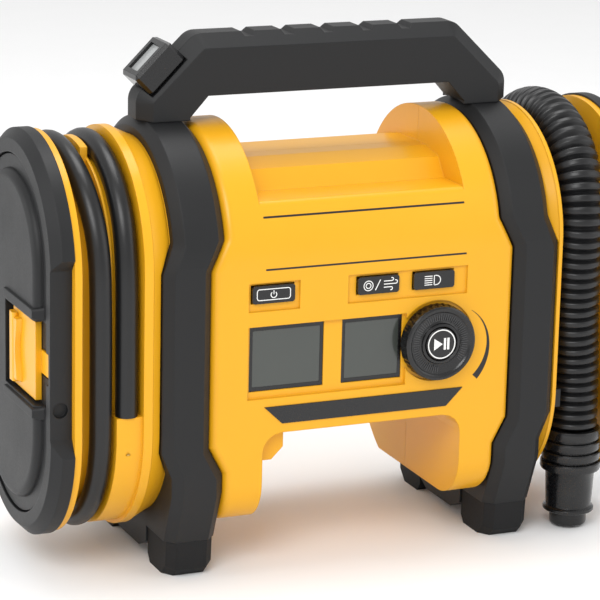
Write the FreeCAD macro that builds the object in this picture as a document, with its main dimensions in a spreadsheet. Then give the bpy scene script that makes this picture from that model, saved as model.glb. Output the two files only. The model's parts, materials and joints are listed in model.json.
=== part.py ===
"""Cordless dual-mode inflator: a high-pressure tyre hose on the left, a high-volume hose on the right.

Row frame: X runs along the length, the control panel faces -Y, +Z is up, and the four rubber feet
stand on Z = 0.  All lengths are in millimetres.
"""
import FreeCAD, Part
import math
import os
import re
import sys

import Sketcher
from FreeCAD import Placement, Rotation, Vector

DIMENSIONS = [
    ("side_round", 60.0, "radius of the rounded ends of the side profile"),
    ("low_axis", 75.0, "height of the lower arc's centre"),
    ("high_axis", 151.0, "height of the upper arc's centre"),
    ("housing_half", 78.2, "half width of the housing at mid height"),
    ("waist_half", 71.3, "half width of the housing where the hoops step inwards"),
    ("jog_low", 52.0, "hoop step, lower start"),
    ("jog_low_top", 65.0, "hoop step, lower end"),
    ("jog_high", 151.0, "hoop step, upper start"),
    ("jog_high_top", 165.0, "hoop step, upper end"),
    ("gap", 0.5, "assembly gap"),
    ("neck", 54.0, "radius of the necks that the hoops wrap"),
    ("neck_half", 102.8, "half length of the housing with its necks"),
    ("leg_low", 24.0, "underside of the housing's legs"),
    ("wall", 4.0, "shell wall"),
    ("front_wall", 5.0, "panel wall"),
    ("bay_half", 52.0, "half width of the battery bay"),
    ("bay_top", 70.0, "ceiling of the battery bay"),
    ("bay_corner", 10.0, "corner radius of the battery bay"),
    ("disc_half", 53.0, "half distance between the two end discs over the barrel"),
    ("shelf", 181.0, "height of the shelf above the panel"),
    ("barrel_top", 193.0, "height of the barrel"),
    ("hoop_round", 62.5, "outer radius of the hoops"),
    ("hoop_out", 102.3, "outer face of a hoop at mid height"),
    ("hoop_slim_out", 97.0, "outer face of a hoop at its top and feet"),
    ("handle_chamfer", 6.5, "edge chamfer of the handle"),
    ("foot_top", 18.0, "height of a rubber foot"),
    ("foot_front", 53.0, "front of a foot from the middle"),
    ("foot_back", 24.0, "back of a foot from the middle"),
    ("flange_out", 111.5, "outer face of the left hose flange"),
    ("right_flange", 104.8, "outer face of the right hose flange"),
    ("left_crest", 107.0, "inner edge of the left hose flange's crest"),
    ("right_crest", 102.8, "inner edge of the right hose flange's crest"),
    ("flange_round", 59.0, "radius of the hose flanges"),
    ("groove_out", 141.5, "outer wall of a hose groove"),
    ("rim_out", 145.0, "outer face of a hose rim"),
    ("cap_out", 155.5, "outer face of an end ring"),
    ("left_core", 47.0, "radius of the left hose core"),
    ("right_core", 32.0, "radius of the right hose core"),
    ("core_wall", 3.0, "wall of the hose cores"),
    ("door_round", 48.0, "radius of the accessory door"),
    ("door_gap", 0.8, "gap round the accessory door"),
    ("hinge_x", 156.6, "distance of the door hinge from the middle"),
    ("hinge_y", 52.0, "depth of the door hinge"),
    ("knuckle", 2.6, "radius of the hinge knuckles"),
    ("pin", 1.2, "radius of the hinge pin"),
    ("handle_half", 97.0, "half length of the handle"),
    ("handle_top", 253.0, "top of the handle"),
    ("handle_under", 224.0, "underside of the grip"),
    ("handle_depth", 24.0, "depth of the handle"),
    ("hose_round", 5.25, "radius of the high-pressure hose"),
    ("duct_round", 12.5, "radius of the high-volume hose"),
    ("knob_x", 37.2, "knob centre along the panel"),
    ("knob_z", 107.9, "knob centre height"),
    ("knob_round", 18.6, "knob radius"),
    ("start_round", 8.0, "start button radius"),
    ("key_travel", 1.2, "travel of the buttons"),
    ("window_low", 90.8, "lower edge of the display windows"),
    ("window_high", 122.4, "upper edge of the display windows"),
    ("key_low", 134.1, "lower edge of the three keys"),
    ("key_high", 142.6, "upper edge of the three keys"),
    ("nozzle_x", 122.3, "nozzle axis along X"),
    ("nozzle_y", -45.6, "nozzle axis along Y"),
    ("motor_z", 93.0, "height of the compressor motor's axis"),
    ("gear_z", 123.0, "height of the crank gear's axis"),
    ("crank", 5.0, "crank radius"),
    ("pump_x", -50.0, "plane of the connecting rod"),
    ("fan_z", 113.0, "height of the blower axis"),
    ("hose_lane", 118.0, "X distance of the pressure hose's first turn"),
    ("hose_reach", 52.6, "radius of the pressure hose's centreline on its spool"),
    ("ledge_top", 84.0, "height of the ledge that the pressure hose leaves"),
    ("port_x", 122.3, "X of the duct elbow"),
    ("port_y", 45.6, "Y of the duct elbow"),
    ("port_top", 92.0, "top of the duct elbow"),
]

doc = FreeCAD.newDocument("inflator")
sheet = doc.addObject("Spreadsheet::Sheet", "dims")
for row, (alias, value, note) in enumerate(DIMENSIONS, start=1):
    sheet.set("A%d" % row, note)
    sheet.set("B%d" % row, str(value))
    sheet.setAlias("B%d" % row, alias)
doc.recompute()
ALIASES = {alias for alias, value, note in DIMENSIONS}
SIDE = Rotation(Vector(0, 1, 0), 90)
FRONT = Rotation(Vector(1, 0, 0), -90)
parts = {}


def dim(alias):
    """The value of one cell of the sheet."""
    return float(sheet.get(alias))


def formula(text):
    """An expression with each sheet alias written in full."""
    def spelled(match):
        word = match.group(0)
        return "dims." + word if word in ALIASES else word
    return re.sub(r"[a-z_]+", spelled, str(text))


def bind(obj, **formulas):
    """Bind properties of an object to formulas."""
    for name, text in formulas.items():
        obj.setExpression(name, formula(text))
    return obj


def move(obj, x=0, y=0, z=0):
    """Bind the place of an object to formulas."""
    for axis, text in zip("xyz", (x, y, z)):
        obj.setExpression("Placement.Base." + axis, formula(text))
    return obj


def box(x0, x1, y0, y1, z0, z1):
    """A block between six planes."""
    obj = doc.addObject("Part::Box", "block")
    span = "(%s) - (%s)"
    bind(obj, Length=span % (x1, x0), Width=span % (y1, y0), Height=span % (z1, z0))
    return move(obj, x0, y0, z0)


def rod(axis, radius, start, end, a, b):
    """A cylinder along X, Y or Z; a and b are its other two coordinates in X, Y, Z order."""
    obj = doc.addObject("Part::Cylinder", "rod")
    bind(obj, Radius=radius, Height="(%s) - (%s)" % (end, start))
    turns = {"x": SIDE, "y": FRONT, "z": Rotation()}
    places = {"x": (start, a, b), "y": (a, start, b), "z": (a, b, start)}
    obj.Placement = Placement(Vector(), turns[axis])
    return move(obj, *places[axis])


def cone(axis, radius_start, radius_end, start, end, a, b):
    """A cone along X, Y or Z."""
    obj = doc.addObject("Part::Cone", "cone")
    bind(obj, Radius1=radius_start, Radius2=radius_end, Height="(%s) - (%s)" % (end, start))
    turns = {"x": SIDE, "y": FRONT, "z": Rotation()}
    places = {"x": (start, a, b), "y": (a, start, b), "z": (a, b, start)}
    obj.Placement = Placement(Vector(), turns[axis])
    return move(obj, *places[axis])


def fuse(*tools):
    """One solid from several."""
    obj = doc.addObject("Part::MultiFuse", "joined")
    obj.Shapes = list(tools)
    obj.Refine = True
    return obj


def group(*tools):
    """Separate solids kept as one sub-part."""
    obj = doc.addObject("Part::Compound", "group")
    obj.Links = list(tools)
    return obj


def cut(base, *tools):
    """Base less every tool."""
    for tool in tools:
        obj = doc.addObject("Part::Cut", "cut")
        obj.Base = base
        obj.Tool = tool
        base = obj
    base.Refine = True
    return base


def common(*tools):
    """What all the solids share."""
    obj = doc.addObject("Part::MultiCommon", "shared")
    obj.Shapes = list(tools)
    obj.Refine = True
    return obj


def stadium(x0, x1, radius, low="low_axis", high="high_axis"):
    """A slot-shaped slab across X: two round ends joined by flat sides."""
    return fuse(rod("x", radius, x0, x1, 0, low), rod("x", radius, x0, x1, 0, high),
                box(x0, x1, "-(%s)" % radius, radius, low, high))


def prism(plane, outline, start, end):
    """A body padded from a sketched outline whose corners are bound to formulas."""
    body = doc.addObject("PartDesign::Body", "prism")
    sketch = body.newObject("Sketcher::SketchObject", "outline")
    base = [f for f in body.Origin.OriginFeatures if f.Role == plane][0]
    sketch.AttachmentSupport = [(base, "")]
    sketch.MapMode = "FlatFace"
    offset = "-(%s)" % end if plane == "XZ_Plane" else start
    sketch.setExpression("AttachmentOffset.Base.z", formula(offset))
    count = len(outline)
    rough = [Vector(sheet_value(x), sheet_value(y), 0) for x, y in outline]
    for i in range(count):
        sketch.addGeometry(Part.LineSegment(rough[i], rough[(i + 1) % count]), False)
    for i in range(count):
        sketch.addConstraint(Sketcher.Constraint("Coincident", i, 2, (i + 1) % count, 1))
        across = ("DistanceX", outline[i][0], rough[i].x)
        up = ("DistanceY", outline[i][1], rough[i].y)
        for kind, text, value in (across, up):
            index = sketch.addConstraint(Sketcher.Constraint(kind, -1, 1, i, 1, value))
            sketch.setExpression("Constraints[%d]" % index, formula(text))
    pad = body.newObject("PartDesign::Pad", "pad")
    pad.Profile = sketch
    pad.setExpression("Length", formula("(%s) - (%s)" % (end, start)))
    return body


def sheet_value(text):
    """The present value of a formula."""
    return float(sheet.evalExpression(str(text)))


def keep(name, obj):
    """Make an object the sub-part of this name."""
    obj.Label = name
    parts[name] = obj
    return obj


def trim(kind, base, size, picker):
    """Fillet or chamfer the edges that picker accepts."""
    doc.recompute()
    chosen = [i for i, edge in enumerate(base.Shape.Edges, start=1) if picker(edge)]
    obj = doc.addObject("Part::" + kind, kind.lower())
    obj.Base = base
    obj.Edges = [(i, size, size) for i in chosen]
    return obj


def middle(edge):
    """The middle point of an edge."""
    return edge.valueAt((edge.FirstParameter + edge.LastParameter) / 2)


def straight(edge, axis):
    """Whether an edge is a straight line along X, Y or Z."""
    if not isinstance(edge.Curve, (Part.Line, Part.LineSegment)):
        return False
    return abs(getattr(edge.tangentAt(edge.FirstParameter), axis)) > 0.999


def mirror_outline(half):
    """A closed outline from its right half, read from the top down."""
    return list(half) + [("-(%s)" % x, z) for x, z in reversed(half)]


# ---- housing -------------------------------------------------------------------------------------------
FAR = 120.0


def front_outline(inset):
    """The housing seen from the front, with the steps that the hoops follow."""
    wide = "housing_half - %s" % inset
    slim = "waist_half - %s" % inset
    return mirror_outline([(slim, "high_axis + side_round + 5"), (slim, "jog_high_top"), (wide, "jog_high"),
                           (wide, "jog_low_top"), (slim, "jog_low"), (slim, "leg_low + %s" % inset)])


def side_body(radius, front, bottom):
    """The housing's side profile: a round top, an upright front and legs with rounded corners."""
    heel = 22.0
    upper = stadium("-%g" % FAR, "%g" % FAR, radius, "low_axis", "high_axis")
    lower = fuse(box("-%g" % FAR, "%g" % FAR, front, "12", "(%s) + %g" % (bottom, heel), "high_axis"),
                 box("-%g" % FAR, "%g" % FAR, "(%s) + %g" % (front, heel), "12", bottom, "high_axis"),
                 rod("x", "%g" % heel, "-%g" % FAR, "%g" % FAR, "(%s) + %g" % (front, heel),
                     "(%s) + %g" % (bottom, heel)))
    ground = box("-%g" % FAR, "%g" % FAR, "-%g" % FAR, "%g" % FAR, bottom, "230")
    return common(fuse(upper, lower), ground)


def barrel_clearance(drop):
    """The space over the barrel and its shelf, between the two end discs."""
    outline = [("-80", "shelf - %s" % drop),
               ("-31", "shelf - %s" % drop),
               ("-24", "barrel_top - 3 - %s" % drop),
               ("-10", "barrel_top - %s" % drop), ("22", "barrel_top - %s" % drop),
               ("44", "barrel_top - 5 - %s" % drop),
               ("62", "barrel_top - 17 - %s" % drop), ("62", "240"), ("-80", "240")]
    return prism("YZ_Plane", outline, "-disc_half - %s" % drop, "disc_half + %s" % drop)


def bay(spread):
    """The battery bay's space, right through from front to back, with rounded upper corners."""
    half = "bay_half + %s" % spread
    corner = []
    for step in range(5):
        turn = math.radians(22.5 * step)
        corner.append(("%s - bay_corner * %.4f" % (half, 1 - math.sin(turn)),
                       "bay_top + %s - bay_corner * %.4f" % (spread, 1 - math.cos(turn))))
    return prism("XZ_Plane", mirror_outline(corner + [(half, "-5")]), "-%g" % FAR, "%g" % FAR)


def housing_solid():
    """The whole housing's outside, with the necks that carry the hoops."""
    core = common(side_body("side_round", "-side_round", "leg_low"),
                  prism("XZ_Plane", front_outline("0"), "-%g" % FAR, "%g" % FAR))
    core = cut(core, barrel_clearance("0"))
    rounded = trim("Fillet", core, 4.0, panel_edge)
    necks = [stadium("-neck_half", "-disc_half - 4", "neck"), stadium("disc_half + 4", "neck_half", "neck")]
    return cut(fuse(rounded, *necks), bay("0"))


def panel_edge(edge):
    """The edges between the front face and the two sides, and the long edge over the panel."""
    point = middle(edge)
    side = abs(point.x) > 60 and point.y < -20 and abs(point.y + dim("side_round")) < 0.5
    top_arc = abs(point.x) > 60 and point.z > 155 and not straight(edge, "x")
    ledge = straight(edge, "x") and abs(point.z - dim("shelf")) < 0.1 and point.y < -50
    return side or top_arc or ledge


def cavity():
    """The space inside the housing."""
    skin = "side_round - wall"
    inner = side_body(skin, "-side_round + front_wall", "leg_low + wall")
    inner = common(inner, prism("XZ_Plane", front_outline("wall"), "-%g" % FAR, "%g" % FAR))
    inner = cut(inner, barrel_clearance("wall"), bay("wall"))
    bore = stadium("-neck_half - 2", "neck_half + 2", "neck - wall")
    bore = cut(bore, barrel_clearance("wall"), bay("wall"))
    return fuse(inner, bore)


PANEL_KEYS = (("power_button", -48.0, 21.4), ("mode_button", 5.8, 21.4), ("light_button", 35.0, 21.4))
WINDOWS = (("left_display", -59.0, -21.0), ("right_display", -11.6, 19.8))


def panel_openings():
    """Recesses and holes in the panel for the keys, the displays and the knob."""
    face = "-side_round"
    deep = "-side_round + 9"
    tools = [box("-60.2", "-34.4", "%s - 2" % face, "%s + 1.2" % face, "key_low - 4", "key_high + 1.2"),
             box("-9.6", "53", "%s - 2" % face, "%s + 1.2" % face, "key_low - 3.8", "key_high + 1.4"),
             box("-60.2", "21.5", "%s - 2" % face, "%s + 1.8" % face,
                 "window_low - 3.4", "window_high + 0.4"),
             rod("y", "knob_round + 1.4", "%s - 2" % face, "%s + 1.8" % face, "knob_x", "knob_z")]
    for name, x, width in PANEL_KEYS:
        tools.append(box("%g - gap / 2" % (x - width / 2), "%g + gap / 2" % (x + width / 2),
                         "%s - 3" % face, deep, "key_low - gap / 2", "key_high + gap / 2"))
    for name, x0, x1 in WINDOWS:
        tools.append(box("%g" % x0, "%g" % x1, "%s - 3" % face, deep, "window_low", "window_high"))
    tools.append(rod("y", "5.2", "%s - 3" % face, deep, "knob_x", "knob_z"))
    return tools


def make_housing():
    """The front and rear shells."""
    shell = cut(housing_solid(), cavity())
    shell = cut(shell, *panel_openings())
    half = {"front_housing": ("-%g" % FAR, "-0.05"), "rear_housing": ("0.05", "%g" % FAR)}
    for name, (y0, y1) in half.items():
        keep(name, common(shell, box("-%g" % (FAR * 1.5), "%g" % (FAR * 1.5), y0, y1, "0", "240")))


# ---- hoops and feet ------------------------------------------------------------------------------------
SIDES = (("left", -1), ("right", 1))


def hoop_band(sign, spread="0"):
    """The hoop from the front: a band that steps outwards in the middle; spread widens both sides."""
    heights = ("240", "jog_high_top", "jog_high", "jog_low_top", "jog_low", "-5")
    inner = ("waist_half", "waist_half", "housing_half", "housing_half", "waist_half", "waist_half")
    outer = ("hoop_slim_out", "hoop_slim_out", "hoop_out", "hoop_out", "hoop_slim_out", "hoop_slim_out")
    band = [("%d * (%s + gap - %s)" % (sign, x, spread), z) for x, z in zip(inner, heights)]
    band += [("%d * (%s + %s)" % (sign, x, spread), z) for x, z in reversed(list(zip(outer, heights)))]
    return prism("XZ_Plane", band, "-%g" % FAR, "%g" % FAR)


def make_hoops():
    """Two closed hoops round the necks, which carry the feet and the handle."""
    half = [("hoop_round", "110"), ("hoop_round", "42"), ("foot_front", "foot_top"),
            ("foot_back", "foot_top"), ("foot_back", "10"), ("14", "5")]
    for side, sign in SIDES:
        low = prism("YZ_Plane", mirror_outline(half), "-%g" % FAR, "%g" % FAR)
        loop = cut(fuse(stadium("-%g" % FAR, "%g" % FAR, "hoop_round", "110"), low),
                   stadium("-%g" % (FAR + 5), "%g" % (FAR + 5), "neck + gap / 2"))
        keep(side + "_hoop", common(loop, hoop_band(sign)))
        for depth, turn in (("front", -1), ("back", 1)):
            outline = [("foot_front", "foot_top"), ("foot_front - 1", "4"), ("foot_front - 5", "0"),
                       ("foot_back + 3", "0"), ("foot_back", "4"), ("foot_back", "foot_top")]
            profile = [("%d * (%s)" % (turn, y), z) for y, z in outline]
            x0, x1 = ("waist_half + gap + 1", "hoop_slim_out - 1")
            if sign < 0:
                x0, x1 = "-(%s)" % x1, "-(%s)" % x0
            foot = prism("YZ_Plane", profile, x0, x1)
            foot = trim("Chamfer", foot, 4.0, foot_edge)
            keep("%s_%s_foot" % (depth, side), foot)


def foot_edge(edge):
    """A foot's two upright corners on its outer end."""
    point = middle(edge)
    return abs(abs(point.y) - dim("foot_front")) < 3.0 and 1 < point.z < 17 and not straight(edge, "x")


# ---- hose spools ---------------------------------------------------------------------------------------
def across(sign, a, b):
    """The two X planes of a slab on the left or right side, lower one first."""
    return (a, b) if sign > 0 else ("-(%s)" % b, "-(%s)" % a)


def shoulder(sign, crest):
    """The sloping side of a flange, which runs down to the hoop beside it."""
    foot = "hoop_slim_out"
    x0, x1 = across(sign, foot, crest + " + 0.5")
    radii = ("neck", "flange_round") if sign > 0 else ("flange_round", "neck")
    ends = [cone("x", radii[0], radii[1], x0, x1, 0, z) for z in ("low_axis", "high_axis")]
    corners = [(x0, radii[0]), (x1, radii[1]), (x1, "-(%s)" % radii[1]), (x0, "-(%s)" % radii[0])]
    sides = prism("XY_Plane", corners, "low_axis", "high_axis")
    return cut(fuse(*ends, sides), stadium(*across(sign, foot + " - 1", "neck_half"), "neck + 0.05"),
               hoop_band(sign, "gap"))


def make_spools():
    """The grooved ends that the hoses lie on."""
    for side, sign, core, crest, face in (("left", -1, "left_core", "left_crest", "flange_out"),
                                          ("right", 1, "right_core", "right_crest", "right_flange")):
        flange = stadium(*across(sign, crest, face), "flange_round")
        base = stadium(*across(sign, "neck_half", face), "neck - 4")
        drum = stadium(*across(sign, face + " - 1", "groove_out + 1"), core)
        rim = stadium(*across(sign, "groove_out", "rim_out"), "flange_round")
        pieces = [flange, base, shoulder(sign, crest), drum, rim]
        if sign < 0:
            rib = common(stadium("-125.2", "-123.9", "left_core + 3"),
                         box("-140", "-110", "-80", "12", "0", "230"))
            post = common(stadium("-127.9", "-124.3", "left_core + 8"),
                          box("-140", "-110", "-15", "9", "high_axis", "230"))
            ledge = common(stadium("-124", "-flange_out + 1", "side_round - 3"),
                           box("-140", "-110", "-80", "12", "0", "ledge_top"))
            pieces += [rib, post, ledge]
        whole = fuse(*pieces)
        tools = [stadium(*across(sign, "neck_half + 4", "rim_out + 2"), "%s - core_wall" % core)]
        if sign < 0:
            tools.append(rod("z", "3.2", "65.4", "ledge_top + 1", "-hose_lane", "-hose_reach - 0.5"))
        else:
            tools.append(rod("x", "14", "neck_half - 1", "neck_half + 6", 0, "fan_z"))
            tools.append(rod("y", "8", "20", "34", "port_x", "port_top - 14"))
        keep(side + "_spool", cut(whole, *tools))


# ---- end covers ----------------------------------------------------------------------------------------
def end_ring(sign):
    """The black ring on one end, with a chamfered outer edge and a cut-back stretch at the front."""
    x0, x1 = across(sign, "rim_out", "cap_out")
    slab = stadium(x0, x1, "side_round")
    slab = trim("Chamfer", slab, 4.5, lambda edge: abs(abs(middle(edge).x) - dim("cap_out")) < 0.1
                and not straight(edge, "x"))
    outline = [("-70", "168"), ("-61", "164"), ("-54.5", "156"),
               ("-54.5", "76"), ("-61", "66"), ("-70", "62")]
    notch = prism("YZ_Plane", outline, x0 + " - 1", x1 + " + 1")
    return cut(slab, notch)


def make_door_end():
    """The accessory compartment's ring, door, hinge and latch."""
    ring = end_ring(-1)
    hole = stadium("-cap_out - 1", "-rim_out + 1", "door_round + door_gap")
    hinge_slot = box("-cap_out - 1", "-152", "door_round - 2", "hinge_y + 3", "99.4", "126.6")
    keeper = box("-cap_out - 1", "-151.8", "-door_round - 4", "-door_round + 5", "101.5", "116.5")
    screw_well = rod("y", "3.6", "-side_round - 1", "-side_round + 8", "-150.5", "90")
    ring = cut(ring, hole, hinge_slot, keeper, screw_well)
    ears = [rod("z", "knuckle", a, b, "-hinge_x", "hinge_y") for a, b in (("84", "99.2"), ("126.8", "142"))]
    roots = [box("-hinge_x", "-cap_out + 1", "hinge_y - knuckle", "hinge_y + knuckle", a, b)
             for a, b in (("84", "99.2"), ("126.8", "142"))]
    bore = rod("z", "pin + 0.05", "80", "146", "-hinge_x", "hinge_y")
    keep("door_ring", cut(fuse(ring, *ears, *roots), bore))
    keep("hinge_pin", rod("z", "pin", "83", "143", "-hinge_x", "hinge_y"))
    plate = stadium("-154.5", "-150.5", "door_round")
    boss = trim("Fillet", stadium("-158.5", "-154", "41.5"), 4.0,
                lambda edge: abs(middle(edge).x + 158.5) < 0.1 and not straight(edge, "x"))
    arm = box("-hinge_x - 1", "-152.5", "40", "hinge_y", "100", "126")
    barrel = rod("z", "knuckle", "100", "126", "-hinge_x", "hinge_y")
    pocket = box("-160", "-153.2", "-49", "3.4", "89", "129.5")
    slot = box("-153.6", "-151.9", "-49", "2", "102.5", "115.5")
    bore = rod("z", "pin + 0.05", "98", "128", "-hinge_x", "hinge_y")
    door = cut(fuse(plate, boss, arm, barrel), pocket, slot, bore)
    keep("accessory_door", door)
    slider = box("-156.4", "-153.4", "-36", "-3", "90.4", "128")
    lip = box("-159.2", "-156", "-10.5", "-4", "92.5", "126")
    lip = trim("Fillet", lip, 1.5, lambda edge: straight(edge, "z"))
    tongue = box("-153.5", "-152.1", "-51.4", "-10", "103.5", "114.5")
    keep("door_latch", fuse(slider, lip, tongue))


def make_intake_end():
    """The fixed cover over the right spool, with its intake grille and screws."""
    ring = cut(end_ring(1), stadium("rim_out - 1", "cap_out + 1", "44"))
    web = cut(stadium("rim_out", "rim_out + 4", "44.5"),
              rod("x", "30", "rim_out - 1", "rim_out + 5", 0, "fan_z"))
    spots = [(y, z) for y in ("-37", "37") for z in ("75", "151")]
    wells = [rod("x", "2", "rim_out - 1", "rim_out + 5", y, z) for y, z in spots]
    keep("intake_cover", cut(fuse(ring, web), *wells))
    heads = [fuse(rod("x", "3.6", "rim_out + 4", "rim_out + 6.2", y, z),
                  rod("x", "1.9", "rim_out", "rim_out + 4", y, z))
             for y, z in spots]
    keep("cover_screws", group(*heads))
    bars = [box("rim_out + 1", "rim_out + 3", "-29.5", "29.5", "fan_z + %g" % (step * 7.5 - 1.6),
                "fan_z + %g" % (step * 7.5 + 1.6)) for step in range(-3, 4)]
    hoop = cut(rod("x", "29.6", "rim_out", "rim_out + 8", 0, "fan_z"),
               rod("x", "26", "rim_out - 1", "rim_out + 9", 0, "fan_z"))
    inner = common(fuse(*bars), rod("x", "27", "rim_out", "rim_out + 8", 0, "fan_z"))
    keep("intake_grille", fuse(hoop, inner))


# ---- handle and work light -----------------------------------------------------------------------------
LIGHT_TURN = -45.0
LIGHT_CENTRE = (-86.4, 0.0, 237.6)


def tilted_box(length, width, low, high):
    """A block on the handle's left slope: length up the slope, width across it, between two heights."""
    obj = doc.addObject("Part::Box", "tilted")
    bind(obj, Length=length, Width=width, Height="(%s) - (%s)" % (high, low))
    turn = Rotation(Vector(0, 1, 0), LIGHT_TURN)
    obj.Placement = Placement(Vector(), turn)
    doc.recompute()
    corner = turn.multVec(Vector(-obj.Length.Value / 2, -obj.Width.Value / 2, sheet_value(low)))
    return move(obj, *["%.4f" % (c + d) for c, d in zip(LIGHT_CENTRE, corner)])


def handle_corner(edge):
    """The handle's four outer corners."""
    point = middle(edge)
    return straight(edge, "y") and point.z > 220 and abs(point.x) > 66


def handle_rim(edge):
    """The front and back rims of the handle's outer side."""
    point = middle(edge)
    return not straight(edge, "y") and point.z > 204 and (point.z > 226 or abs(point.x) > 90)


def make_handle():
    """The carrying handle over the two hoops, with grip notches."""
    half = [("handle_half - 29", "handle_top"), ("handle_half", "handle_top - 28"), ("handle_half", "203"),
            ("handle_half - 25", "203"), ("handle_half - 25", "handle_under - 10"),
            ("handle_half - 34", "handle_under")]
    bar = prism("XZ_Plane", mirror_outline(half), "-handle_depth / 2", "handle_depth / 2")
    bar = trim("Fillet", bar, 9.0, handle_corner)
    bar = trim("Chamfer", bar, dim("handle_chamfer"), handle_rim)
    notches = []
    for step in range(5):
        x = -41.0 + 20.5 * step
        outline = [("%g" % (x - 4.2), "handle_top + 1"), ("%g" % (x - 2.2), "handle_top - 2.2"),
                   ("%g" % (x + 2.2), "handle_top - 2.2"), ("%g" % (x + 4.2), "handle_top + 1")]
        notches.append(prism("XZ_Plane", outline, "-20", "20"))
    seat = stadium("-%g" % FAR, "%g" % FAR, "hoop_round + 0.2")
    light = tilted_box("24.4", "21", "-6.6", "12")
    keep("handle", cut(bar, *notches, seat, light))
    bezel = trim("Chamfer", tilted_box("24", "20.6", "-6.5", "6.5"), 1.6, lambda edge: middle(edge).x < -60)
    window = tilted_box("16", "12", "1.5", "8")
    keep("worklight_housing", cut(bezel, window))
    keep("worklight_lens", tilted_box("15.8", "11.8", "3.2", "5"))
    keep("worklight_board", tilted_box("15", "11", "1.6", "2.8"))


# ---- control panel -------------------------------------------------------------------------------------
def make_panel():
    """Keys, displays, knob, start button, label strip and the board behind them."""
    face = "-side_round"
    for name, x, width in PANEL_KEYS:
        key = box("%g" % (x - width / 2), "%g" % (x + width / 2), face + " - 0.6", "-52.8",
                  "key_low", "key_high")
        keep(name, trim("Fillet", key, 1.4, lambda edge: straight(edge, "y")))
    for name, x0, x1 in WINDOWS:
        keep(name, box("%g" % (x0 + 0.1), "%g" % (x1 - 0.1), face + " + 2.4", "-52.2", "window_low + 0.1",
                       "window_high - 0.1"))
    wheel = cut(rod("y", "knob_round", "-66.2", "-58.7", "knob_x", "knob_z"),
                rod("y", "start_round + 0.3", "-67", "-61.5", "knob_x", "knob_z"))
    wheel = trim("Fillet", wheel, 1.6, lambda edge: abs(middle(edge).y + 66.2) < 0.1)
    hub = rod("y", "5.1", "-60", "-51.8", "knob_x", "knob_z")
    keep("pressure_knob", cut(fuse(wheel, hub), rod("y", "3.2", "-70", "-50", "knob_x", "knob_z")))
    cap = trim("Fillet", rod("y", "start_round", "-66.5", "-63.4", "knob_x", "knob_z"), 0.8,
               lambda edge: abs(middle(edge).y + 66.5) < 0.1)
    keep("start_button", fuse(cap, rod("y", "3.1", "-64", "-51.4", "knob_x", "knob_z")))
    ring = cut(rod("y", "9", "-51.6", "-49", "knob_x", "knob_z"),
               rod("y", "4", "-52", "-49.8", "knob_x", "knob_z"))
    keep("knob_encoder", ring)
    strip = [("-51.6", "83.3"), ("52.3", "83.3"), ("43.6", "74.6"), ("-42.4", "74.6")]
    keep("label_strip", prism("XZ_Plane", strip, face + " - 0.5", face))
    board = box("-57", "57", "-49", "-47.4", "76", "150")
    chips = [box("-52", "-40", "-47.4", "-44", "92", "104"), box("-10", "8", "-47.4", "-45", "100", "118"),
             box("-54", "-30", "-47.4", "-38", "124", "140"), rod("y", "4", "-47.4", "-34", "20", "84")]
    switches = [box("%g" % (x - 3), "%g" % (x + 3), "-51", "-49", "135.4", "141.4")
                for name, x, width in PANEL_KEYS]
    keep("control_board", fuse(board, *chips, *switches))


def make_bay_parts():
    """The battery rails, the terminal block and its blades."""
    rails = []
    for sign, front in ((-1, "-54"), (1, "-8")):
        outline = [("39", "bay_top - 0.05"), ("41.5", "bay_top - 0.05"), ("49", "66"),
                   ("51.8", "60.5"), ("51.8", "55"), ("45", "55"), ("39", "61")]
        rails.append(prism("XZ_Plane", [("%d * %s" % (sign, x), z) for x, z in outline], front, "50"))
    keep("battery_rails", group(*rails))
    block = box("-20", "20", "20", "52", "60", "bay_top - 0.05")
    slots = [box("%g" % (x - 1), "%g" % (x + 1), "18", "44", "58", "68") for x in (-12, -4, 4, 12)]
    keep("terminal_block", cut(block, *slots))
    blades = [box("%g" % (x - 0.4), "%g" % (x + 0.4), "26", "44", "60.5", "67.9") for x in (-12, -4, 4, 12)]
    keep("terminal_blades", group(*blades))


# ---- compressor and blower -----------------------------------------------------------------------------
def gear_teeth(count, module, x0, x1, y, z, turn):
    """A spur gear across X: a root disc and one tooth sketch repeated round it."""
    pitch = count * module / 2.0
    root = pitch - 1.2 * module
    tip = pitch + 0.9 * module
    step = 2 * math.pi / count
    disc = rod("x", "%g" % root, x0, x1, y, z)
    shape = []
    for index in range(count):
        mid = turn + index * step
        for radius, half in ((root - 0.3, 0.29), (pitch, 0.225), (tip, 0.11)):
            shape.append((mid - half * step, radius))
        for radius, half in ((tip, 0.11), (pitch, 0.225), (root - 0.3, 0.29)):
            shape.append((mid + half * step, radius))
    corners = [Vector(0, radius * math.cos(angle), radius * math.sin(angle)) for angle, radius in shape]
    face = Part.Face(Part.makePolygon(corners + corners[:1]))
    feature = doc.addObject("Part::Feature", "gear_profile")
    feature.Shape = face
    feature.Placement = Placement(Vector(sheet_value(x0), sheet_value(y), sheet_value(z)), Rotation())
    solid = doc.addObject("Part::Extrusion", "gear")
    solid.Base = feature
    solid.DirMode = "Custom"
    solid.Dir = Vector(1, 0, 0)
    solid.Solid = True
    solid.setExpression("LengthFwd", formula("(%s) - (%s)" % (x1, x0)))
    return fuse(disc, solid)


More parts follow.
